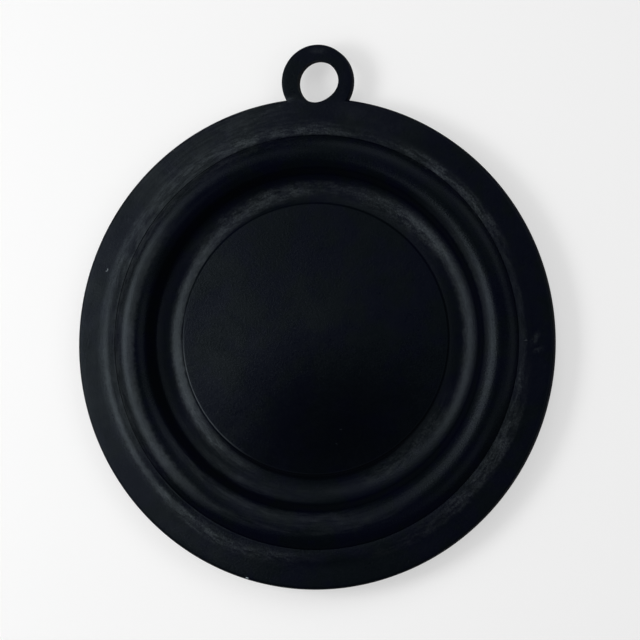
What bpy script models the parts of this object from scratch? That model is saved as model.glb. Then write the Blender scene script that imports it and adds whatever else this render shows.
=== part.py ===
# Diaphragm of a gas water heater's water valve: one moulding in black rubber.
# A thick flat flange is clamped between the halves of the valve body. Inside its low
# sealing bead a rounded convolution stands proud, and drops inward to a trough and to
# the flat disc that carries the plate of the valve. An ear with a hole grows from the rim.
# Metres, +Z up. The underside of the disc is at Z = 0, centred on the origin. The ear is at +Y.

import math

import bmesh
import bpy
from mathutils import Matrix

# Disc and trough, from the middle outwards
SEAT_DIAMETER = 0.0406
SEAT_STEP = 0.00013
SEAT_EDGE_RADIUS = 0.0003
TROUGH_INNER_RUN = 0.0018
TROUGH_RADIUS = 0.0042
TROUGH_END_ANGLE = 33.0
WEB_THICKNESS = 0.0012

# Inner wall of the convolution, then its crown
FOOT_RADIUS = 0.0012
WALL_ANGLE = 69.0
SHOULDER_INSIDE_RADIUS = 0.0002
SHOULDER_END_ANGLE = 38.0
CROWN_INSIDE_RADIUS = 0.0030
CREST_ABOVE_TROUGH = 0.0040
CROWN_OUTER_RUN = 0.0026
HOLLOW_STEEPEST_ANGLE = 80.0

# Flange with its bead and its rounded rim
CREST_ABOVE_FLANGE = 0.0009
BEAD_INNER_FACE_RUN = 0.00005
BEAD_INNER_RUN = 0.00095
BEAD_INNER_ANGLE = 9.0
BEAD_OUTER_RUN = 0.00065
BEAD_FOOT_RUN = 0.0010
BEAD_OUTER_ANGLE = 13.0
FLANGE_LAND_WIDTH = 0.00286
FLANGE_THICKNESS = 0.0024
RIM_EDGE_RADIUS = 0.0005

# Ear
EAR_DIAMETER = 0.0109
EAR_HOLE_DIAMETER = 0.0062
EAR_CENTRE_BEYOND_RIM = 0.0026
EAR_THICKNESS = 0.0020
EAR_EDGE_RADIUS = 0.00025
HOLE_CUTTER_OVERRUN = 0.001

# How finely round forms are drawn: facets round the axis, and how far a chord may cut an arc
TURN_SEGMENTS = 96
EAR_SEGMENTS = 48
CHORD_ERROR = 0.00002

RUBBER_COLOUR = (0.0105, 0.0112, 0.0135, 1.0)
RUBBER_ROUGHNESS = 0.42
SHARP_EDGE_ANGLE = 32.0


def clear_scene():
    for thing in list(bpy.data.objects):
        bpy.data.objects.remove(thing, do_unlink=True)


def bend(path, radius, first_angle, last_angle):
    """Carry the path outwards on an arc while its slope goes from one angle to the other."""
    start_radius, start_height = path[-1]
    widest_step = math.degrees(2 * math.acos(max(1 - CHORD_ERROR / radius, 0)))
    steps = math.ceil(abs(last_angle - first_angle) / widest_step)
    hollow = 1.0 if last_angle > first_angle else -1.0
    first = math.radians(first_angle)
    for step in range(1, steps + 1):
        slope = first + math.radians(last_angle - first_angle) * step / steps
        across = hollow * radius * (math.sin(slope) - math.sin(first))
        up = hollow * radius * (math.cos(first) - math.cos(slope))
        path.append((start_radius + across, start_height + up))


def wall_length():
    """Length of the straight part of the inner wall that brings the crest to its height."""
    trough_end = math.radians(TROUGH_END_ANGLE)
    wall = math.radians(WALL_ANGLE)
    shoulder_end = math.radians(SHOULDER_END_ANGLE)
    shoulder_radius = SHOULDER_INSIDE_RADIUS + WEB_THICKNESS
    crown_radius = CROWN_INSIDE_RADIUS + WEB_THICKNESS
    climb = TROUGH_RADIUS * (1 - math.cos(trough_end))
    climb += FOOT_RADIUS * (math.cos(trough_end) - math.cos(wall))
    climb += shoulder_radius * (math.cos(shoulder_end) - math.cos(wall))
    climb += crown_radius * (1 - math.cos(shoulder_end))
    return (CREST_ABOVE_TROUGH - climb) / math.sin(wall)


def convolution(start, depth_in_wall):
    """Path from the bottom of the trough to the crest, at a depth below the upper surface."""
    path = [start]
    bend(path, TROUGH_RADIUS + depth_in_wall, 0, TROUGH_END_ANGLE)
    bend(path, FOOT_RADIUS + depth_in_wall, TROUGH_END_ANGLE, WALL_ANGLE)
    wall = math.radians(WALL_ANGLE)
    foot_radius, foot_height = path[-1]
    reach = wall_length()
    path.append((foot_radius + reach * math.cos(wall), foot_height + reach * math.sin(wall)))
    above_inside = WEB_THICKNESS - depth_in_wall
    bend(path, SHOULDER_INSIDE_RADIUS + above_inside, WALL_ANGLE, SHOULDER_END_ANGLE)
    bend(path, CROWN_INSIDE_RADIUS + above_inside, SHOULDER_END_ANGLE, 0)
    return path


def trough_radius_from_axis():
    return SEAT_DIAMETER / 2 + TROUGH_INNER_RUN


def crest_height():
    return WEB_THICKNESS + CREST_ABOVE_TROUGH


def flange_top():
    return crest_height() - CREST_ABOVE_FLANGE


def seat_path():
    """Edge of the disc and the inner side of the trough, on the upper surface."""
    seat_radius = SEAT_DIAMETER / 2
    start_slope = math.degrees(math.asin(TROUGH_INNER_RUN / TROUGH_RADIUS))
    climb = TROUGH_RADIUS * (1 - math.cos(math.radians(start_slope)))
    step_foot = WEB_THICKNESS + climb
    disc_top = step_foot + SEAT_STEP
    round_end = math.degrees(math.acos(1 - SEAT_STEP / SEAT_EDGE_RADIUS))
    round_run = SEAT_EDGE_RADIUS * math.sin(math.radians(round_end))
    path = [(seat_radius - round_run, disc_top)]
    bend(path, SEAT_EDGE_RADIUS, 0, -round_end)
    bend(path, TROUGH_RADIUS, -start_slope, 0)
    return path


def bead_path(foot):
    """Low sealing bead: a short step up from the convolution, a shallow crown and a soft foot."""
    inner = math.radians(BEAD_INNER_ANGLE)
    outer = math.radians(BEAD_OUTER_ANGLE)
    crest = flange_top() + (BEAD_OUTER_RUN + BEAD_FOOT_RUN) * math.tan(outer / 2)
    path = [(foot[0] + BEAD_INNER_FACE_RUN, crest - BEAD_INNER_RUN * math.tan(inner / 2))]
    bend(path, BEAD_INNER_RUN / math.sin(inner), BEAD_INNER_ANGLE, 0)
    bend(path, BEAD_OUTER_RUN / math.sin(outer), 0, -BEAD_OUTER_ANGLE)
    bend(path, BEAD_FOOT_RUN / math.sin(outer), -BEAD_OUTER_ANGLE, 0)
    return path


def rim_path(bead_end, bottom, edge_radius, width):
    """Flat land of the flange and its rim, rounded at the top and at the bottom."""
    path = [(bead_end[0] + width - edge_radius, bead_end[1])]
    bend(path, edge_radius, 0, -90)
    path.append((path[-1][0], bottom + edge_radius))
    lower = [(path[-1][0] - edge_radius, bottom)]
    bend(lower, edge_radius, 0, 90)
    path.extend(reversed(lower[:-1]))
    return path


def hollow_outer_path(crown_inside, flange_bottom):
    """Outer side of the hollow under the convolution, down to the bottom of the flange."""
    drop = crown_inside[1] - flange_bottom
    limit = math.radians(HOLLOW_STEEPEST_ANGLE)
    slope = math.acos(max(1 - drop / CROWN_INSIDE_RADIUS, math.cos(limit)))
    path = [crown_inside]
    bend(path, CROWN_INSIDE_RADIUS, 0, -math.degrees(slope))
    if path[-1][1] > flange_bottom + 1e-6:
        path.append((path[-1][0], flange_bottom))
    return path


def diaphragm_section():
    """Half section, from the edge of the disc on top, round the rim, to the underside."""
    top = seat_path()
    top.extend(convolution(top[-1], 0.0)[1:])
    crown_radius = CROWN_INSIDE_RADIUS + WEB_THICKNESS
    crown_end = math.degrees(math.asin(CROWN_OUTER_RUN / crown_radius))
    bend(top, crown_radius, 0, -crown_end)
    top.extend(bead_path(top[-1]))
    bottom = flange_top() - FLANGE_THICKNESS
    rim = rim_path(top[-1], bottom, RIM_EDGE_RADIUS, FLANGE_LAND_WIDTH)
    under = convolution((trough_radius_from_axis(), 0.0), WEB_THICKNESS)
    under.extend(hollow_outer_path(under[-1], bottom)[1:])
    return top + rim + list(reversed(under))


def rim_radius():
    return max(radius for radius, height in diaphragm_section())


def ear_section():
    """Half section of the ear as a plain round plate, level with the top of the flange."""
    top = flange_top()
    return rim_path((0.0, top), top - EAR_THICKNESS, EAR_EDGE_RADIUS, EAR_DIAMETER / 2)


def turned_mesh(name, section, segments):
    """Spin a half section about +Z and close its two open ends with flat faces."""
    shape = bmesh.new()
    points = [shape.verts.new((radius, 0.0, height)) for radius, height in section]
    edges = [shape.edges.new(pair) for pair in zip(points, points[1:])]
    bmesh.ops.spin(
        shape, geom=points + edges, cent=(0, 0, 0), axis=(0, 0, 1),
        angle=2 * math.pi, steps=segments, use_merge=True,
    )
    bmesh.ops.holes_fill(shape, edges=shape.edges, sides=0)
    bmesh.ops.recalc_face_normals(shape, faces=shape.faces)
    mesh = bpy.data.meshes.new(name)
    shape.to_mesh(mesh)
    shape.free()
    return mesh


def add_object(name, mesh):
    thing = bpy.data.objects.new(name, mesh)
    bpy.context.scene.collection.objects.link(thing)
    return thing


def as_tool(thing):
    thing.hide_render = True
    thing.display_type = "WIRE"


def combine(target, tool, operation):
    modifier = target.modifiers.new(tool.name, "BOOLEAN")
    modifier.operation = operation
    modifier.solver = "EXACT"
    modifier.object = tool


def rubber():
    material = bpy.data.materials.new("black_rubber")
    material.use_nodes = True
    shader = material.node_tree.nodes["Principled BSDF"]
    shader.inputs["Base Color"].default_value = RUBBER_COLOUR
    shader.inputs["Roughness"].default_value = RUBBER_ROUGHNESS
    shader.inputs["Metallic"].default_value = 0.0
    return material


def make_ear_plate(distance):
    plate = add_object("ear_plate", turned_mesh("ear_plate", ear_section(), EAR_SEGMENTS))
    plate.location = (0, distance, 0)
    as_tool(plate)
    return plate


def make_ear_hole(distance):
    shape = bmesh.new()
    thickest = max(EAR_THICKNESS, FLANGE_THICKNESS)
    bmesh.ops.create_cone(
        shape, cap_ends=True, segments=EAR_SEGMENTS,
        radius1=EAR_HOLE_DIAMETER / 2, radius2=EAR_HOLE_DIAMETER / 2,
        depth=thickest + 2 * HOLE_CUTTER_OVERRUN,
        matrix=Matrix.Translation((0, 0, flange_top() - thickest / 2)),
    )
    mesh = bpy.data.meshes.new("ear_hole")
    shape.to_mesh(mesh)
    shape.free()
    hole = add_object("ear_hole", mesh)
    hole.location = (0, distance, 0)
    as_tool(hole)
    return hole


def make_diaphragm():
    mesh = turned_mesh("diaphragm", diaphragm_section(), TURN_SEGMENTS)
    body = add_object("diaphragm", mesh)
    ear_distance = rim_radius() + EAR_CENTRE_BEYOND_RIM
    combine(body, make_ear_plate(ear_distance), "UNION")
    combine(body, make_ear_hole(ear_distance), "DIFFERENCE")
    mesh.materials.append(rubber())
    mesh.shade_smooth()
    mesh.set_sharp_from_angle(angle=math.radians(SHARP_EDGE_ANGLE))
    return body


clear_scene()
make_diaphragm()
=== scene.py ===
import math

import bmesh
import bpy
from mathutils import Matrix, Vector, noise


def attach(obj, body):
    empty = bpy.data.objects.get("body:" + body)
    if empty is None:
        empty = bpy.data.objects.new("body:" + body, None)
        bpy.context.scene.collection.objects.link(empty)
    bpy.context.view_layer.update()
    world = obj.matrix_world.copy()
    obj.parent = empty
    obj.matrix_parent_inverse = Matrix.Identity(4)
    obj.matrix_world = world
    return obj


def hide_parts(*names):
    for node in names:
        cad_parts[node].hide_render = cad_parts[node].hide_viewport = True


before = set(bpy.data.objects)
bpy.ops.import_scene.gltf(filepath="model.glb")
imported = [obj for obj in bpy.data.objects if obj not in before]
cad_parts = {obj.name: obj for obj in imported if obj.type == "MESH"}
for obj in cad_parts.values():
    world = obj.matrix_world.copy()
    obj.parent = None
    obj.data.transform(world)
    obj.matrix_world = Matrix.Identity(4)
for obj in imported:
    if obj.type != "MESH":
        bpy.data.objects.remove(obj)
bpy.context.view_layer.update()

# A moulded rubber diaphragm that lies on a pale table, its raised ring upwards.
# Lengths are millimetres until a mesh is made, and heights count from the table.
mm = 0.001


# Section of the moulding

diaphragm = {
    "segments": 360,             # round the axis
    "fineness": 0.17,            # longest step along a curve
    "flatStep": 0.9,             # longest step across a flat
    "hiddenStep": 2.7,           # and across a flat of the underside
    "edgeStep": 0.04,            # along the small edge of the disc
    "faceStep": 0.06,            # up the small steep face of the bead
    "capRadius": 1.0,            # small round faces close the middle
    "sharpAngle": 34.0,          # edges that turn more than this stay crisp
    "seatRadius": 20.3,          # edge of the disc that carries the plate
    "seatStep": 0.13,            # how far that edge stands above the start of the trough
    "seatEdge": 0.3,             # radius that rounds it
    "troughRun": 1.8,            # from the edge of the disc to the bottom of the trough
    "troughCurve": 4.2,
    "troughEnd": 33.0,           # slope in degrees where the curve of the trough ends
    "web": 1.2,                  # thickness of the thin wall
    "footCurve": 1.2,            # radius between the trough and the steep wall
    "wallAngle": 69.0,
    "shoulderInside": 0.2,       # radii of shoulder and crown are those of the underside
    "shoulderEnd": 38.0,
    "crownInside": 3.0,
    "crestRise": 4.0,            # crest above the bottom of the trough
    "crownOuterRun": 2.6,        # from the crest to the bead
    "crestAboveFlange": 0.9,
    "beadFace": 0.05,            # breadth of the small steep face where the bead starts
    "beadInnerRun": 0.95,        # from there to the top of the bead
    "beadInnerSlope": 9.0,
    "beadOuterRun": 0.65,        # from the top of the bead to its steepest place
    "beadOuterSlope": 13.0,
    "beadFootRun": 1.0,          # from there to the flat of the flange
    "radius": 36.4765,           # a hair inside the solid of the frame
    "flange": 2.4,
    "rimEdge": 0.5,              # radius that rounds the rim, above and below
}

ear = {
    "segments": 128,
    "radius": 5.45,
    "beyondRim": 2.51,           # of its centre
    "right": -0.09,
    "width": 0.988,              # stretch to the sides and away from the rim
    "length": 1.008,
    "thickness": 2.0,
    "edge": 0.25,
    "hole": 3.1,                 # radius
    "holeRight": 0.03,           # from the axis of the round part
    "holeUp": -0.04,             # from the centre of the ear
    "drill": (-4.0, 1.0),        # what cuts the hole, below and above the upper side
    # how far the hole bulges, as waves round it: how many, height, azimuth of the first one
    "holeWaves": ((2, 0.07, 87), (3, 0.055, -5), (4, 0.02, -35)),
}


def bend(path, radius, firstSlope, lastSlope, step):
    # carries the path outwards on an arc while its slope turns from one angle to the other
    startRadius, startHeight = path[-1]
    turn = math.radians(lastSlope - firstSlope)
    first = math.radians(firstSlope)
    side = 1 if turn > 0 else -1
    count = max(2, math.ceil(abs(turn) * radius / step))
    for i in range(1, count + 1):
        slope = first + turn * i / count
        path.append((
            startRadius + side * radius * (math.sin(slope) - math.sin(first)),
            startHeight + side * radius * (math.cos(first) - math.cos(slope)),
        ))


def straight(path, end, step):
    start = path[-1]
    count = max(1, math.ceil(math.dist(start, end) / step))
    for i in range(1, count + 1):
        share = i / count
        path.append(tuple(a + (b - a) * share for a, b in zip(start, end)))


def wallLength(d):
    # what the curves leave over for the straight wall between trough and crown
    end, wall, shoulder = (math.radians(d[k]) for k in ("troughEnd", "wallAngle", "shoulderEnd"))
    climb = d["troughCurve"] * (1 - math.cos(end))
    climb += d["footCurve"] * (math.cos(end) - math.cos(wall))
    climb += (d["shoulderInside"] + d["web"]) * (math.cos(shoulder) - math.cos(wall))
    climb += (d["crownInside"] + d["web"]) * (1 - math.cos(shoulder))
    return (d["crestRise"] - climb) / math.sin(wall)


def ringWall(d, start, depth):
    # from the bottom of the trough up to the crest, at a depth below the upper surface
    step = d["fineness"]
    path = [start]
    bend(path, d["troughCurve"] + depth, 0, d["troughEnd"], step)
    bend(path, d["footCurve"] + depth, d["troughEnd"], d["wallAngle"], step)
    wall = math.radians(d["wallAngle"])
    reach = wallLength(d)
    foot = path[-1]
    straight(path, (foot[0] + reach * math.cos(wall), foot[1] + reach * math.sin(wall)), step)
    left = d["web"] - depth
    bend(path, d["shoulderInside"] + left, d["wallAngle"], d["shoulderEnd"], step)
    bend(path, d["crownInside"] + left, d["shoulderEnd"], 0, step)
    return path


def rimPath(path, bottom, edge, width, d):
    outer = path[-1][0] + width
    straight(path, (outer - edge, path[-1][1]), d["flatStep"])
    bend(path, edge, 0, -90, d["fineness"] / 2)
    straight(path, (outer, bottom + edge), d["flatStep"])
    lower = [(outer - edge, bottom)]
    bend(lower, edge, 0, 90, d["fineness"] / 2)
    path.extend(reversed(lower[:-1]))


def diaphragmSection(d):
    crest = d["web"] + d["crestRise"]
    top = crest - d["crestAboveFlange"]
    slope = math.degrees(math.asin(d["troughRun"] / d["troughCurve"]))
    foot = d["web"] + d["troughCurve"] * (1 - math.cos(math.radians(slope)))
    roundEnd = math.degrees(math.acos(1 - d["seatStep"] / d["seatEdge"]))
    flatEnd = d["seatRadius"] - d["seatEdge"] * math.sin(math.radians(roundEnd))
    path = [(d["capRadius"], foot + d["seatStep"])]
    straight(path, (flatEnd, foot + d["seatStep"]), d["flatStep"])
    bend(path, d["seatEdge"], 0, -roundEnd, d["edgeStep"])
    bend(path, d["troughCurve"], -slope, 0, d["fineness"])
    path.extend(ringWall(d, path[-1], 0)[1:])

    crown = d["crownInside"] + d["web"]
    bend(path, crown, 0, -math.degrees(math.asin(d["crownOuterRun"] / crown)), d["fineness"])
    inner, outer = (math.radians(d[k]) for k in ("beadInnerSlope", "beadOuterSlope"))
    height = (d["beadOuterRun"] + d["beadFootRun"]) * math.tan(outer / 2)
    start = top + height - d["beadInnerRun"] * math.tan(inner / 2)
    straight(path, (path[-1][0] + d["beadFace"], start), d["faceStep"])
    bend(path, d["beadInnerRun"] / math.sin(inner), d["beadInnerSlope"], 0, d["fineness"])
    bend(path, d["beadOuterRun"] / math.sin(outer), 0, -d["beadOuterSlope"], d["fineness"])
    bend(path, d["beadFootRun"] / math.sin(outer), -d["beadOuterSlope"], 0, d["fineness"])

    bottom = top - d["flange"]
    rimPath(path, bottom, d["rimEdge"], d["radius"] - path[-1][0], d)
    under = ringWall(d, (d["seatRadius"] + d["troughRun"], 0), d["web"])
    fall = math.acos(1 - (under[-1][1] - bottom) / d["crownInside"])
    bend(under, d["crownInside"], 0, -math.degrees(fall), d["fineness"])
    straight(path, under[-1], d["flatStep"])
    path.extend(reversed(under[:-1]))
    straight(path, (d["capRadius"], 0), d["hiddenStep"])
    return path


def addObject(name, data):
    item = bpy.data.objects.new(name, data)
    bpy.context.scene.collection.objects.link(item)
    return item


def turned(name, path, segments):
    # spins a half section about its axis and closes the two ends with flat faces
    shape = bmesh.new()
    rings = []
    for radius, height in path:
        ring = []
        for i in range(segments):
            angle = 2 * math.pi * i / segments
            spot = Vector((radius * math.cos(angle), radius * math.sin(angle), height))
            ring.append(shape.verts.new(spot * mm))
        rings.append(ring)
    for inner, outer in zip(rings, rings[1:]):
        for i in range(segments):
            j = (i + 1) % segments
            shape.faces.new((inner[i], outer[i], outer[j], inner[j]))
    shape.faces.new(rings[0])
    shape.faces.new(reversed(rings[-1]))
    bmesh.ops.recalc_face_normals(shape, faces=shape.faces)
    mesh = bpy.data.meshes.new(name)
    shape.to_mesh(mesh)
    shape.free()
    return addObject(name, mesh)


# the rings of the real moulding are not quite round or on one centre:
# radius, shift to the right, shift to the ear, width, length
outOfRound = {
    "middle": (0.0, -0.20, 0.70, 1.005, 1.002),
    "seat": (diaphragm["seatRadius"], -0.20, 0.70, 1.005, 1.002),
    "wall": (25.1, 0.05, 0.62, 1.002, 1.001),
    "crest": (27.2, 0.23, 0.25, 1.002, 0.998),
    "bead": (31.1, 0.33, 0.18, 0.990, 0.992),
    "flange": (33.5, 0.1, 0.05, 0.992, 0.998),
    "rim": (diaphragm["radius"], 0.0, 0.0, 0.991, 1.0),
}

waves = {
    "height": 0.025,
    "size": 8.0,
    "seed": (4.1, 9.7, 2.3),
    "facingUp": 0.1,             # least upward part of the normal
}


def settleRings(piece):
    rings = list(outOfRound.values())
    for vertex in piece.data.vertices:
        x, y = vertex.co.x / mm, vertex.co.y / mm
        radius = math.hypot(x, y)
        for inner, outer in zip(rings, rings[1:]):
            if radius <= outer[0]:
                break
        share = min(1.0, (radius - inner[0]) / (outer[0] - inner[0]))
        right, up, width, length = (a + (b - a) * share for a, b in zip(inner[1:], outer[1:]))
        vertex.co.x = (x * width + right) * mm
        vertex.co.y = (y * length + up) * mm


def makeWavy(piece):
    # a moulding is never quite flat: its upper side sinks a hair here and there
    seed = Vector(waves["seed"])
    upper = [vertex for vertex in piece.data.vertices if vertex.normal.z > waves["facingUp"]]
    for vertex in upper:
        sink = 0.5 - noise.noise(vertex.co / (waves["size"] * mm) + seed) * 0.5
        vertex.co.z -= sink * waves["height"] * mm


def earPath(e, top, d):
    start = e["hole"] / 2        # inside the hole, which is cut later
    path = [(start, top)]
    rimPath(path, top - e["thickness"], e["edge"], e["radius"] - start, d)
    straight(path, (start, top - e["thickness"]), d["hiddenStep"])
    return path


def combine(piece, tool, operation):
    modifier = piece.modifiers.new(operation.lower(), "BOOLEAN")
    modifier.operation = operation
    modifier.solver = "EXACT"
    modifier.object = tool
    ready = piece.evaluated_get(bpy.context.evaluated_depsgraph_get())
    mesh = bpy.data.meshes.new_from_object(ready)
    piece.modifiers.clear()
    piece.data = mesh
    bpy.data.objects.remove(tool)


def makeEarPlate(centre, top):
    plate = turned("ear_plate", earPath(ear, top, diaphragm), ear["segments"])
    for vertex in plate.data.vertices:
        vertex.co = centre + vertex.co * Vector((ear["width"], ear["length"], 1))
    return plate


def makeHoleDrill(centre, top):
    # the hole is a little out of round and off the middle of the ear
    path = [(ear["hole"], top + height) for height in ear["drill"]]
    drill = turned("hole", path, ear["segments"])
    for vertex in drill.data.vertices:
        azimuth = math.atan2(vertex.co.y, vertex.co.x)
        bulge = sum(size * math.cos(count * azimuth - math.radians(first))
                    for count, size, first in ear["holeWaves"])
        stretch = 1 + bulge / ear["hole"]
        vertex.co.x = vertex.co.x * stretch + ear["holeRight"] * mm
        vertex.co.y = vertex.co.y * stretch + centre.y + ear["holeUp"] * mm
    return drill


def makeDiaphragm():
    path = diaphragmSection(diaphragm)
    piece = turned("diaphragm_rubber", path, diaphragm["segments"])
    settleRings(piece)
    rim = max(radius for radius, height in path)
    top = diaphragm["web"] + diaphragm["crestRise"] - diaphragm["crestAboveFlange"]
    centre = Vector((ear["right"], rim + ear["beyondRim"], 0)) * mm
    combine(piece, makeEarPlate(centre, top), "UNION")
    combine(piece, makeHoleDrill(centre, top), "DIFFERENCE")
    makeWavy(piece)
    piece.data.shade_smooth()
    piece.data.set_sharp_from_angle(angle=math.radians(diaphragm["sharpAngle"]))
    return piece


# Rubber

rubber = {
    "base": (0.0002, 0.0005, 0.0038, 1),
    "greenBase": (0.0003, 0.0011, 0.0022, 1),
    # darker colour painted as shade on the lower right of the disc and at its foot
    "paintedShade": (0.0001, 0.0003, 0.0012, 1),
    # pale colour of the bloom, also used for the painted highlights
    "bloomAndHighlights": (0.80, 0.93, 1.0, 1),
    "tint": (0.74, 0.89, 1.0, 1),
    "specularLevel": 0.068,
    "flatRoughness": 0.33,
    "humpRoughness": 0.27,
    "wallRoughness": 0.9,
    "wornRoughness": 0.17,       # on the smoother place of the disc, which also carries painted shade
    "blotchRoughness": 0.18,     # how far blotches, flecks and bloom change it
    "fleckRoughness": 0.08,
    "bloomRoughness": 1.5,
    "thickBloom": 0.1,           # bloom paler than this is no rougher
    "shadeShare": 0.7,               # how far the smoother place of the disc is darkened, painted shade towards its lower right and foot
    "discEdge": (20.0, 20.5),    # the smoother, shaded place fades out between these radii
    "dust": 0.0007,              # fine dust all over, in specks
    "levelNormal": (0.35, 0.9),  # powder starts and is full at these upward parts of the normal
    "steepNormal": (0.2, 0.75),  # a wall is steep below the first and no more above the second
    "crisp": 0.1,                # bloom with an edge softer than this is ragged
    "raggedReach": 0.7,          # of the noise that shakes its edges
    "raggedNoise": (0.625, 3.0, 0.5),   # each noise has a size, a detail and a roughness
    "blotchNoise": (3.6, 5.0, 0.65),
    "grainNoise": (0.26, 3.0, 0.6),
    "grainHeight": 0.036,
    "sleekGrain": 0.9,           # share of its grain that a sleek place loses
    "humpSleek": 0.5,            # how sleek the hump is beside the smoother disc
    "streakHeight": 0.003,
    "beside": (31.0, 17.0, 5.0),    # how far away some patterns look up their noise
}

# mottled patterns: where the noise is looked up, its size, detail and roughness, and the values
# of the noise where the pattern starts and is full
patterns = {
    "flecks": ("here", 0.3, 4.0, 0.75, 0.32, 0.70),
    "sparks": ("beside", 0.24, 2.0, 0.6, 0.60, 0.72),
    "clouds": ("here", 3.2, 5.0, 0.65, 0.30, 0.70),
    "patches": ("beside", 1.3, 4.0, 0.65, 0.36, 0.64),
    "specks": ("beside", 0.7, 5.0, 0.8, 0.42, 0.64),
    "hue": ("here", 6.0, 5.0, 0.65, 0.42, 0.58),
}

# strokes along the rings: size round the ring, size across it, contrast
strokes = {
    "streaks": (4.0, 0.3, 0.15),
    "dashes": (0.9, 0.2, 0.15),
    "dabs": (2.2, 0.45, 0.11),
}

# bands with a finish of their own: ring, inner and outer radius, softness, azimuth and half width
# in degrees, which is past 180 where the band goes all the way round
bands = {
    # the crease round the disc, kept dark as painted shade on all but the lower left
    "shadedCrease": ("seat", 20.1, 20.45, 0.08, 20, 140),
    # painted shadow along the foot of the disc on the lower side
    "shadedDiscFoot": ("seat", 20.0, 21.0, 0.3, 282, 48),
    "trough": ("bead", 20.9, 24.4, 0.4, 0, 400),
    "hump": ("bead", 25.0, 30.6, 0.4, 0, 400),
    "smoothBead": ("bead", 31.0, 33.4, 0.4, 196, 44),
}

# where the disc is made smoother and painted darker, a painted shade towards its lower right: right, up,
# turn in degrees, length, width, softness
wornPlace = (4.0, -13.0, 20.0, 54.0, 38.0, 1.0)

# coats of powder: a base, and what each pattern adds to it
coats = {
    "soft": {"base": 0.75, "flecks": 0.25, "dashes": 0.25},
    "powder": {"base": 0.15, "flecks": 0.9, "sparks": 0.9},
    "broken": {"base": 0.25, "patches": 0.5, "dabs": 1.0},
    "film": {"base": 0.25, "flecks": 0.4},
    "bristles": {"base": 0.45, "dashes": 0.6},
    "streaked": {"base": 0.15, "streaks": 1.3},
    "patchy": {"base": 0.7, "patches": 0.5},
    "cloud": {"base": 0.3, "clouds": 0.8, "flecks": 0.6},
    "drift": {"base": 0.75, "clouds": 0.5},
    "dusting": {"base": 0.3, "clouds": 0.7},
}

# whitish bloom along the rings, partly real powder and partly painted highlights and painted light
# on the flanks and flange that face the lamps: ring, inner and outer radius, softness, azimuth,
# half width in degrees, paleness and texture
bloomAndHighlights = [
    # painted highlight along the rounded edge of the disc on the lower left
    ("seat", 19.98, 20.15, 0.05, 207, 26, 0.040, "plain"),
    ("seat", 20.35, 21.8, 0.2, 176, 34, 0.014, "soft"),
    ("seat", 20.5, 22.2, 0.4, 148, 28, 0.009, "brushed"),
    ("seat", 20.5, 22.1, 0.3, 200, 22, 0.017, "soft"),
    ("seat", 21.2, 22.4, 0.6, 223, 16, 0.022, "brushed"),
    ("seat", 22.3, 24.2, 0.5, 238, 30, 0.002, "streaks"),
    ("seat", 23.4, 24.9, 0.3, 241, 12, 0.005, "streaks"),
    ("seat", 21.0, 23.2, 0.5, 120, 22, 0.011, "flakes"),
    ("seat", 21.1, 23.2, 0.5, 58, 20, 0.007, "flakes"),
    ("seat", 21.9, 23.6, 0.5, 50, 16, 0.014, "flakes"),
    ("seat", 22.4, 23.4, 0.4, 20, 26, 0.010, "brushed"),
    ("seat", 22.9, 23.8, 0.6, 10, 44, 0.013, "soft"),
    ("seat", 21.8, 23.5, 0.5, 95, 20, 0.009, "flakes"),
    ("seat", 21.0, 23.0, 0.5, 316, 18, 0.009, "flakes"),
    ("seat", 21.8, 23.4, 0.5, 294, 18, 0.003, "brushed"),
    # painted highlights that brighten the hump's outer flank on the left, where the key lamp is mirrored
    ("bead", 27.8, 29.8, 0.4, 168, 24, 0.013, "soft"),
    ("bead", 28.0, 29.8, 0.5, 196, 26, 0.010, "soft"),
    ("bead", 28.2, 29.9, 0.4, 214, 16, 0.017, "soft"),
    ("bead", 30.1, 31.5, 0.3, 176, 42, 0.010, "brushed"),
    ("bead", 29.4, 30.6, 0.4, 132, 14, 0.006, "brushed"),
    # painted light that keeps the crease in front of the bead pale on the left, the side the lamps light
    ("bead", 30.75, 31.2, 0.15, 166, 46, 0.011, "soft"),
    ("bead", 25.7, 27.0, 0.4, 250, 36, 0.006, "streaks"),
    ("bead", 28.2, 29.3, 0.3, 238, 9, 0.006, "streaks"),
    ("bead", 27.2, 28.8, 0.4, 272, 24, 0.004, "streaks"),
    # painted highlight that widens the crest's highlight on its inner side at the upper right
    ("bead", 26.0, 27.0, 0.3, 27, 20, 0.007, "soft"),
    ("bead", 29.9, 31.0, 0.3, 112, 14, 0.005, "flakes"),
    ("bead", 31.1, 32.0, 0.3, 66, 34, 0.008, "flakes"),
    ("bead", 30.95, 32.5, 0.3, 48, 14, 0.022, "flakes"),
    ("bead", 31.1, 32.6, 0.35, 102, 20, 0.012, "flakes"),
    ("bead", 31.2, 33.3, 0.5, 135, 30, 0.016, "brushed"),
    ("bead", 31.2, 32.6, 0.4, 190, 24, 0.010, "soft"),
    # painted highlight that sharpens the bead's highlight on the lower left
    ("bead", 32.1, 32.9, 0.3, 204, 24, 0.020, "soft"),
    ("bead", 31.9, 33.0, 0.4, 226, 16, 0.014, "brushed"),
    ("bead", 32.3, 33.7, 0.4, 243, 14, 0.017, "flakes"),
    ("bead", 31.5, 32.8, 0.4, 259, 8, 0.011, "flakes"),
    ("bead", 31.05, 31.2, 0.05, 238, 22, 0.006, "streaks"),
    ("bead", 31.2, 33.2, 0.5, 328, 18, 0.017, "flakes"),
    ("bead", 31.3, 32.1, 0.25, 4, 24, 0.008, "flakes"),
    ("bead", 32.0, 33.4, 0.4, 300, 12, 0.005, "flakes"),
    ("rim", 33.2, 36.6, 0.5, 155, 55, 0.004, "cloud"),
    ("rim", 33.2, 36.6, 0.5, 118, 20, 0.005, "streaks"),
    ("rim", 33.2, 35.6, 0.6, 235, 16, 0.003, "cloud"),
]
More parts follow.
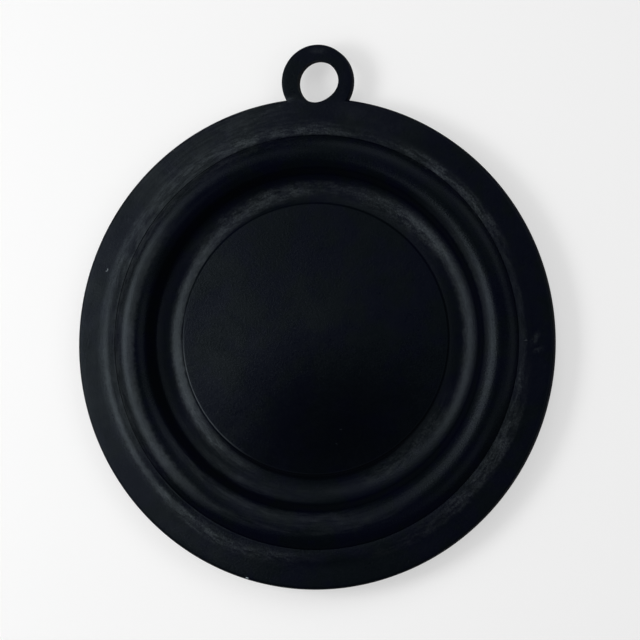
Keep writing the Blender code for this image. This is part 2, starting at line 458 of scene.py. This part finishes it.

# pale marks, scratches and patches of painted light: right, up, turn in degrees, length, width, softness,
# paleness, texture
marksAndPaintedLight = [
    (-31.78, 10.55, 86, 0.50, 0.17, 0.8, 0.26, "plain"),
    (-31.95, 10.32, 10, 0.45, 0.16, 0.7, 0.20, "plain"),
    (32.0, 0.95, 8, 0.7, 0.2, 0.8, 0.04, "plain"),
    (33.3, 1.2, 62, 3.2, 1.4, 1.0, 0.012, "flakes"),
    (33.9, -0.4, 20, 2.4, 1.2, 1.0, 0.012, "flakes"),
    (-8.9, -35.08, 165, 0.6, 0.22, 0.8, 0.5, "plain"),
    (4.31, -12.71, 12, 0.60, 0.16, 0.6, 0.03, "plain"),
    (3.68, -14.86, 150, 0.50, 0.14, 0.6, 0.025, "plain"),
    (-0.8, 32.5, 2, 12.0, 2.2, 0.8, 0.008, "flakes"),
    (-4.7, 35.9, 32, 5.0, 1.2, 0.9, 0.016, "flakes"),
    (-8.3, 34.0, 30, 8.0, 0.7, 0.9, 0.010, "flakes"),
    (-9.8, 32.2, 26, 7.0, 0.6, 0.9, 0.010, "flakes"),
    (-15.8, -27.0, 148, 8.0, 3.0, 0.9, 0.006, "flakes"),
    (0.1, 43.6, 4, 4.0, 1.5, 0.9, 0.006, "flakes"),
    # the next two faint clouds lighten the flange near the ear and the left of the disc, painted light on
    # the sides the lamps come from
    (8.0, 33.5, -14, 26.0, 7.0, 1.0, 0.0030, "cloud"),
    (-15.0, 0.0, 90, 46.0, 22.0, 1.0, 0.0030, "cloud"),
    (-2.0, 4.0, 30, 26.0, 20.0, 1.0, 0.0010, "cloud"),
]


def addNode(tree, kind, inputs=None, **settings):
    # a shader node, its sockets set to values or linked to other sockets
    item = tree.nodes.new("ShaderNode" + kind)
    for key, value in settings.items():
        setattr(item, key, value)
    for key, value in (inputs or {}).items():
        if isinstance(value, bpy.types.NodeSocket):
            tree.links.new(value, item.inputs[key])
        else:
            item.inputs[key].default_value = value
    return item


def calc(tree, operation, *values):
    return addNode(tree, "Math", dict(enumerate(values)), operation=operation).outputs["Value"]


def calcVector(tree, operation, *values):
    outputs = addNode(tree, "VectorMath", dict(enumerate(values)), operation=operation).outputs
    return outputs["Value" if operation in ("LENGTH", "DOT_PRODUCT") else "Vector"]


def scaled(tree, value, factor, base):
    return calc(tree, "MULTIPLY_ADD", value, factor, base)


def ease(tree, value, low, high, start=0.0, end=1.0):
    sockets = {"Value": value, "From Min": low, "From Max": high, "To Min": start, "To Max": end}
    return addNode(tree, "MapRange", sockets, interpolation_type="SMOOTHSTEP").outputs["Result"]


def easeAround(tree, value, middle, reach, start=0.0, end=1.0):
    low = calc(tree, "SUBTRACT", middle, reach)
    high = calc(tree, "ADD", middle, reach)
    return ease(tree, value, low, high, start, end)


def noiseNode(tree, position, size, detail, roughness, output="Fac"):
    sockets = {"Vector": position, "Scale": 1 / size, "Detail": detail, "Roughness": roughness}
    return addNode(tree, "TexNoise", sockets).outputs[output]


def mixColours(tree, factor, first, second):
    # the Mix node keeps its two colours in sockets 6 and 7 and gives the result in 2
    sockets = {"Factor": factor, 6: first, 7: second}
    return addNode(tree, "Mix", sockets, data_type="RGBA").outputs[2]


def newGroup(name, inputs, outputs):
    tree = bpy.data.node_groups.new(name, "ShaderNodeTree")
    for label, value in inputs.items():
        kind = "NodeSocketVector" if isinstance(value, tuple) else "NodeSocketFloat"
        tree.interface.new_socket(label, in_out="INPUT", socket_type=kind).default_value = value
    for label, kind in outputs.items():
        tree.interface.new_socket(label, in_out="OUTPUT", socket_type=kind)
    return tree, tree.nodes.new("NodeGroupInput").outputs, tree.nodes.new("NodeGroupOutput").inputs


def useGroup(tree, name, inputs):
    return addNode(tree, "Group", inputs, node_tree=bpy.data.node_groups[name]).outputs


def makeRingPlaceGroup():
    # radius of a point on a ring that is off centre and out of round, and its heading from there
    inputs = {"Position": (0, 0, 0), "Centre": (0, 0, 0), "Stretch": (1, 1, 1)}
    outputs = {"Radius": "NodeSocketFloat", "Heading": "NodeSocketVector"}
    tree, given, result = newGroup("ring place", inputs, outputs)
    place = calcVector(tree, "SUBTRACT", given["Position"], given["Centre"])
    place = calcVector(tree, "DIVIDE", place, given["Stretch"])
    flat = calcVector(tree, "MULTIPLY", place, (1, 1, 0))
    tree.links.new(calcVector(tree, "LENGTH", flat), result["Radius"])
    tree.links.new(calcVector(tree, "NORMALIZE", flat), result["Heading"])


def makeRingArcGroup():
    # mask of a stretch of a ring, from 0 to 1
    inputs = {"Radius": 0.0, "Heading": (1, 0, 0), "Inner": 0.0, "Outer": 1.0, "Softness": 0.4,
              "Azimuth": 0.0, "Half Width": 30.0, "Fade": 14.0}
    tree, given, result = newGroup("ring arc", inputs, {"Mask": "NodeSocketFloat"})
    inside = easeAround(tree, given["Radius"], given["Inner"], given["Softness"])
    outside = easeAround(tree, given["Radius"], given["Outer"], given["Softness"], 1.0, 0.0)
    azimuth = calc(tree, "RADIANS", given["Azimuth"])
    aim = {"X": calc(tree, "COSINE", azimuth), "Y": calc(tree, "SINE", azimuth)}
    aim = addNode(tree, "CombineXYZ", aim).outputs["Vector"]
    meet = calcVector(tree, "DOT_PRODUCT", given["Heading"], aim)
    away = calc(tree, "DEGREES", calc(tree, "ARCCOSINE", calc(tree, "MINIMUM", meet, 1.0)))
    near = easeAround(tree, away, given["Half Width"], given["Fade"], 1.0, 0.0)
    mask = calc(tree, "MULTIPLY", calc(tree, "MULTIPLY", inside, outside), near)
    tree.links.new(mask, result["Mask"])


def makeOvalMarkGroup():
    # mask of an oval patch, speck or scratch, from 0 to 1
    inputs = {"Position": (0, 0, 0), "Right": 0.0, "Up": 0.0, "Turn": 0.0, "Length": 1.0,
              "Width": 1.0, "Softness": 0.5}
    tree, given, result = newGroup("oval mark", inputs, {"Mask": "NodeSocketFloat"})
    axes = addNode(tree, "SeparateXYZ", {"Vector": given["Position"]}).outputs
    right = calc(tree, "SUBTRACT", axes["X"], given["Right"])
    up = calc(tree, "SUBTRACT", axes["Y"], given["Up"])
    turn = calc(tree, "RADIANS", given["Turn"])
    cosine, sine = calc(tree, "COSINE", turn), calc(tree, "SINE", turn)
    along = calc(tree, "ADD", calc(tree, "MULTIPLY", right, cosine), calc(tree, "MULTIPLY", up, sine))
    across = calc(tree, "SUBTRACT", calc(tree, "MULTIPLY", up, cosine),
                  calc(tree, "MULTIPLY", right, sine))
    along = calc(tree, "DIVIDE", along, calc(tree, "MULTIPLY", given["Length"], 0.5))
    across = calc(tree, "DIVIDE", across, calc(tree, "MULTIPLY", given["Width"], 0.5))
    far = calc(tree, "ADD", calc(tree, "MULTIPLY", along, along), calc(tree, "MULTIPLY", across, across))
    core = calc(tree, "SUBTRACT", 1.0, given["Softness"])
    tree.links.new(ease(tree, calc(tree, "SQRT", far), core, 1.0, 1.0, 0.0), result["Mask"])


def makeRingStrokesGroup():
    # streaks that run round a ring, looked up in a noise that counts in streaks
    inputs = {"Radius": 0.0, "Heading": (1, 0, 0), "Ring": 30.0, "Round Size": 4.0,
              "Across Size": 0.2, "Contrast": 0.15}
    tree, given, result = newGroup("ring strokes", inputs, {"Value": "NodeSocketFloat"})
    spread = calc(tree, "DIVIDE", given["Ring"], given["Round Size"])
    around = calcVector(tree, "MULTIPLY", given["Heading"], spread)
    rise = calc(tree, "DIVIDE", given["Radius"], given["Across Size"])
    rise = addNode(tree, "CombineXYZ", {"Z": rise}).outputs["Vector"]
    value = noiseNode(tree, calcVector(tree, "ADD", around, rise), size=1.0, detail=2.0, roughness=0.6)
    tree.links.new(easeAround(tree, value, 0.5, given["Contrast"]), result["Value"])


def arcMask(tree, place, inner, outer, softness, azimuth, halfWidth):
    inputs = {"Radius": place["Radius"], "Heading": place["Heading"], "Inner": inner, "Outer": outer,
              "Softness": softness, "Azimuth": azimuth, "Half Width": halfWidth}
    return useGroup(tree, "ring arc", inputs)["Mask"]


def markMask(tree, spot, right, up, turn, length, width, softness):
    inputs = {"Position": spot, "Right": right, "Up": up, "Turn": turn, "Length": length,
              "Width": width, "Softness": softness}
    return useGroup(tree, "oval mark", inputs)["Mask"]


def coatOf(tree, masks, recipe):
    # how thick one coat lies
    value = recipe["base"]
    for name, share in recipe.items():
        if name != "base":
            value = scaled(tree, masks[name], share, value)
    return value


def rubberSpots(tree):
    # a point of the rubber in millimetres, one beside it, and one shaken about for ragged edges
    perMm = 1 / mm
    here = addNode(tree, "TexCoord").outputs["Object"]
    here = calcVector(tree, "MULTIPLY", here, (perMm, perMm, perMm))
    shake = noiseNode(tree, here, *rubber["raggedNoise"], output="Color")
    shake = calcVector(tree, "SUBTRACT", shake, (0.5, 0.5, 0.5))
    reach = rubber["raggedReach"]
    ragged = calcVector(tree, "MULTIPLY_ADD", shake, (reach, reach, reach), here)
    return {"here": here, "beside": calcVector(tree, "ADD", here, rubber["beside"]), "ragged": ragged}


def ringPlaces(tree, spot):
    # radius and heading on each ring that bloom or a band follows
    places = {}
    for ring in sorted({row[0] for row in (*bloomAndHighlights, *bands.values())}):
        right, up, width, length = outOfRound[ring][1:]
        inputs = {"Position": spot, "Centre": (right, up, 0), "Stretch": (width, length, 1)}
        places[ring] = useGroup(tree, "ring place", inputs)
    return places


def rubberMasks(tree, spots, places):
    masks = {}
    for name, (where, size, detail, roughness, low, high) in patterns.items():
        masks[name] = ease(tree, noiseNode(tree, spots[where], size, detail, roughness), low, high)
    bead = places["bead"]
    for name, (roundSize, acrossSize, contrast) in strokes.items():
        inputs = {"Radius": bead["Radius"], "Heading": bead["Heading"], "Round Size": roundSize,
                  "Across Size": acrossSize, "Contrast": contrast}
        masks[name] = useGroup(tree, "ring strokes", inputs)["Value"]
    for name, (ring, *band) in bands.items():
        masks[name] = arcMask(tree, places[ring], *band)
    onDisc = ease(tree, places["seat"]["Radius"], *rubber["discEdge"], 1.0, 0.0)
    worn = calc(tree, "MULTIPLY", markMask(tree, spots["ragged"], *wornPlace), onDisc)
    masks["worn"] = calc(tree, "MAXIMUM", worn, masks["shadedDiscFoot"])
    normal = addNode(tree, "NewGeometry").outputs["Normal"]
    upward = addNode(tree, "SeparateXYZ", {"Vector": normal}).outputs["Z"]
    masks["level"] = ease(tree, upward, *rubber["levelNormal"])
    masks["steep"] = ease(tree, upward, *rubber["steepNormal"], 1.0, 0.0)
    return masks


def rubberBloomAndHighlights(tree, spots, places, masks):
    # how pale bloom, dust and painted highlights make the rubber, from 0 upwards
    coat = {name: coatOf(tree, masks, recipe) for name, recipe in coats.items()}
    texture = {
        "plain": 1.0,
        "soft": coat["soft"],
        "flakes": calc(tree, "MULTIPLY", coat["powder"], coat["broken"]),
        "brushed": scaled(tree, masks["dabs"], coat["bristles"], coat["film"]),
        "streaks": calc(tree, "MULTIPLY", coat["streaked"], coat["patchy"]),
        "cloud": coat["cloud"],
    }
    pale = 0.0
    raggedPlaces = ringPlaces(tree, spots["ragged"])
    for ring, inner, outer, softness, azimuth, halfWidth, amount, kind in bloomAndHighlights:
        place = places[ring] if softness < rubber["crisp"] else raggedPlaces[ring]
        mask = arcMask(tree, place, inner, outer, softness, azimuth, halfWidth)
        pale = scaled(tree, mask, calc(tree, "MULTIPLY", texture[kind], amount), pale)
    for right, up, turn, length, width, softness, amount, kind in marksAndPaintedLight:
        spot = spots["here"] if kind == "plain" else spots["ragged"]
        mask = markMask(tree, spot, right, up, turn, length, width, softness)
        pale = scaled(tree, mask, calc(tree, "MULTIPLY", texture[kind], amount), pale)
    # only what faces up holds powder, and the crease round the disc is kept bare of it as painted shade
    pale = calc(tree, "MULTIPLY", calc(tree, "MULTIPLY", pale, masks["level"]), coat["drift"])
    pale = scaled(tree, calc(tree, "MULTIPLY", masks["specks"], coat["dusting"]), rubber["dust"], pale)
    return calc(tree, "MULTIPLY", pale, calc(tree, "SUBTRACT", 1.0, masks["shadedCrease"]))


def rubberColour(tree, masks, pale):
    dark = mixColours(tree, masks["hue"], rubber["base"], rubber["greenBase"])
    colour = mixColours(tree, calc(tree, "MINIMUM", pale, 1.0), dark, rubber["bloomAndHighlights"])
    # painted shade: the disc is darkened towards its lower right and along its foot at the bottom
    shadeShare = calc(tree, "MULTIPLY", masks["worn"], rubber["shadeShare"])
    return mixColours(tree, shadeShare, colour, rubber["paintedShade"])


def rubberRoughness(tree, spots, masks, pale):
    d = rubber
    smooth = calc(tree, "MAXIMUM", masks["hump"], masks["smoothBead"])
    rough = scaled(tree, smooth, d["humpRoughness"] - d["flatRoughness"], d["flatRoughness"])
    rough = scaled(tree, masks["worn"], d["wornRoughness"] - d["flatRoughness"], rough)
    blotches = noiseNode(tree, spots["here"], *d["blotchNoise"])
    rough = scaled(tree, calc(tree, "SUBTRACT", blotches, 0.5), d["blotchRoughness"], rough)
    rough = scaled(tree, calc(tree, "SUBTRACT", masks["flecks"], 0.5), d["fleckRoughness"], rough)
    rough = scaled(tree, calc(tree, "MINIMUM", pale, d["thickBloom"]), d["bloomRoughness"], rough)
    steep = calc(tree, "MAXIMUM", masks["steep"], masks["shadedCrease"])
    sockets = {"Factor": steep, "A": rough, "B": d["wallRoughness"]}
    return addNode(tree, "Mix", sockets).outputs["Result"]


def rubberNormal(tree, spots, masks):
    # fine grain, less of it on sleek places, and streaks round the hump and the trough
    d = rubber
    grain = calc(tree, "MULTIPLY", noiseNode(tree, spots["here"], *d["grainNoise"]), d["grainHeight"])
    sleek = calc(tree, "MAXIMUM", masks["worn"], calc(tree, "MULTIPLY", masks["hump"], d["humpSleek"]))
    grain = calc(tree, "MULTIPLY", grain, scaled(tree, sleek, -d["sleekGrain"], 1.0))
    brushed = calc(tree, "MAXIMUM", masks["hump"], masks["trough"])
    height = scaled(tree, calc(tree, "MULTIPLY", masks["streaks"], brushed), d["streakHeight"], grain)
    bump = addNode(tree, "Bump", {"Height": height, "Distance": mm, "Strength": 1.0})
    return bump.outputs["Normal"]


def rubberMaterial():
    material = bpy.data.materials.new("black rubber")
    material.use_nodes = True
    tree = material.node_tree
    shader = tree.nodes["Principled BSDF"]
    shader.inputs["Specular IOR Level"].default_value = rubber["specularLevel"]
    shader.inputs["Specular Tint"].default_value = rubber["tint"]

    makeRingPlaceGroup()
    makeRingArcGroup()
    makeOvalMarkGroup()
    makeRingStrokesGroup()
    spots = rubberSpots(tree)
    places = ringPlaces(tree, spots["here"])
    masks = rubberMasks(tree, spots, places)
    pale = rubberBloomAndHighlights(tree, spots, places, masks)
    tree.links.new(rubberColour(tree, masks, pale), shader.inputs["Base Color"])
    tree.links.new(rubberRoughness(tree, spots, masks, pale), shader.inputs["Roughness"])
    tree.links.new(rubberNormal(tree, spots, masks), shader.inputs["Normal"])
    return material


# Table, lamps and camera

studio = {
    "table": (0.86, 0.86, 0.86, 1),
    "tableRoughness": 0.9,
    "tableReach": 1500,          # from its middle to its edges
    "tableGap": 0.02,            # keeps it clear of the diaphragm's underside
    "tableGlow": 0.5,            # how much of its white is seen without shade
    "level": 1.25,               # raises every lamp and the world together
    "world": 0.15,
}

# round soft lamps that face the middle: azimuth, elevation, distance, half angle as seen from
# there, and radiance against a white surface in full light, before the level
lamps = {
    "key": (180, 50, 250, 12, 7.16),
    "lower left": (210, 50, 250, 12, 1.24),
    "upper left": (150, 50, 250, 12, 1.71),
    "high left": (150, 65, 250, 12, 0.455),
    "low left": (180, 25, 700, 14, 0.78),
    "right": (0, 45, 700, 14, 1.11),
    "upper right": (45, 45, 700, 14, 1.53),
    "top": (90, 45, 700, 14, 1.33),
    "high top": (90, 65, 700, 14, 0.63),
    "high right": (315, 65, 700, 14, 0.67),
}

cameraView = {
    "tiltRight": 12.5,
    "tiltDown": 2.0,
    "roll": 1.35,
    "distance": 350,
    "target": (1.296, 3.427, 4.3),
    "viewWidth": 640 / 6.75,     # 640 pixels at 6.75 to the millimetre
    "sensor": 36,
}


def tableMaterial():
    material = bpy.data.materials.new("pale table")
    material.use_nodes = True
    tree = material.node_tree
    shader = tree.nodes["Principled BSDF"]
    shader.inputs["Base Color"].default_value = studio["table"]
    shader.inputs["Roughness"].default_value = studio["tableRoughness"]
    shader.inputs["Specular IOR Level"].default_value = 0.0
    glow = addNode(tree, "Emission")
    ray = addNode(tree, "LightPath").outputs
    seen = calc(tree, "ADD", ray["Is Camera Ray"], ray["Is Glossy Ray"])
    seen = calc(tree, "ADD", seen, ray["Is Transmission Ray"])
    share = calc(tree, "MULTIPLY", seen, studio["tableGlow"])
    mixer = addNode(tree, "MixShader", {0: share, 1: shader.outputs["BSDF"], 2: glow.outputs["Emission"]})
    tree.links.new(mixer.outputs["Shader"], tree.nodes["Material Output"].inputs["Surface"])
    return material


def makeTable():
    shape = bmesh.new()
    bmesh.ops.create_grid(shape, x_segments=1, y_segments=1, size=studio["tableReach"] * mm)
    mesh = bpy.data.meshes.new("table")
    shape.to_mesh(mesh)
    shape.free()
    mesh.materials.append(tableMaterial())
    table = addObject("table", mesh)
    table.location.z = -studio["tableGap"] * mm


def makeLamp(name, azimuth, elevation, distance, halfAngle, radiance):
    data = bpy.data.lights.new(name, "AREA")
    data.shape = "DISK"
    data.size = 2 * distance * math.tan(math.radians(halfAngle)) * mm
    area = math.pi * data.size ** 2 / 4
    data.energy = radiance * studio["level"] * math.pi * area
    azimuth, elevation = math.radians(azimuth), math.radians(elevation)
    flat = math.cos(elevation)
    direction = Vector((flat * math.cos(azimuth), flat * math.sin(azimuth), math.sin(elevation)))
    lamp = addObject(name, data)
    lamp.location = direction * distance * mm
    lamp.rotation_euler = direction.to_track_quat("Z", "Y").to_euler()


def makeCamera(c):
    data = bpy.data.cameras.new("camera")
    data.sensor_width = c["sensor"]
    data.lens = c["sensor"] * c["distance"] / c["viewWidth"]
    right, down = math.radians(c["tiltRight"]), math.radians(c["tiltDown"])
    back = Vector((math.tan(right), -math.tan(down), 1)).normalized()
    up = (Vector((0, 1, 0)) - back * back.y).normalized()
    side = up.cross(back)
    turn = Matrix((side, up, back)).transposed().to_4x4()
    turn = turn @ Matrix.Rotation(math.radians(c["roll"]), 4, "Z")
    place = (Vector(c["target"]) + back * c["distance"]) * mm
    camera = addObject("camera", data)
    camera.matrix_world = Matrix.Translation(place) @ turn
    bpy.context.scene.camera = camera


def makeWorld():
    world = bpy.data.worlds.new("studio")
    world.use_nodes = True
    ground = world.node_tree.nodes["Background"]
    ground.inputs["Color"].default_value = (1, 1, 1, 1)
    ground.inputs["Strength"].default_value = studio["world"] * studio["level"]
    return world


def makeStudio():
    scene = bpy.context.scene
    scene.view_settings.view_transform = "Standard"
    scene.world = makeWorld()
    makeTable()
    for name, lamp in lamps.items():
        makeLamp(name, *lamp)
    makeCamera(cameraView)


print("making the diaphragm")
rubberPiece = makeDiaphragm()

print("colouring the rubber")
rubberPiece.data.materials.clear()
rubberPiece.data.materials.append(rubberMaterial())
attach(rubberPiece, "root")
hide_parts("diaphragm")

print("setting the studio")
makeStudio()
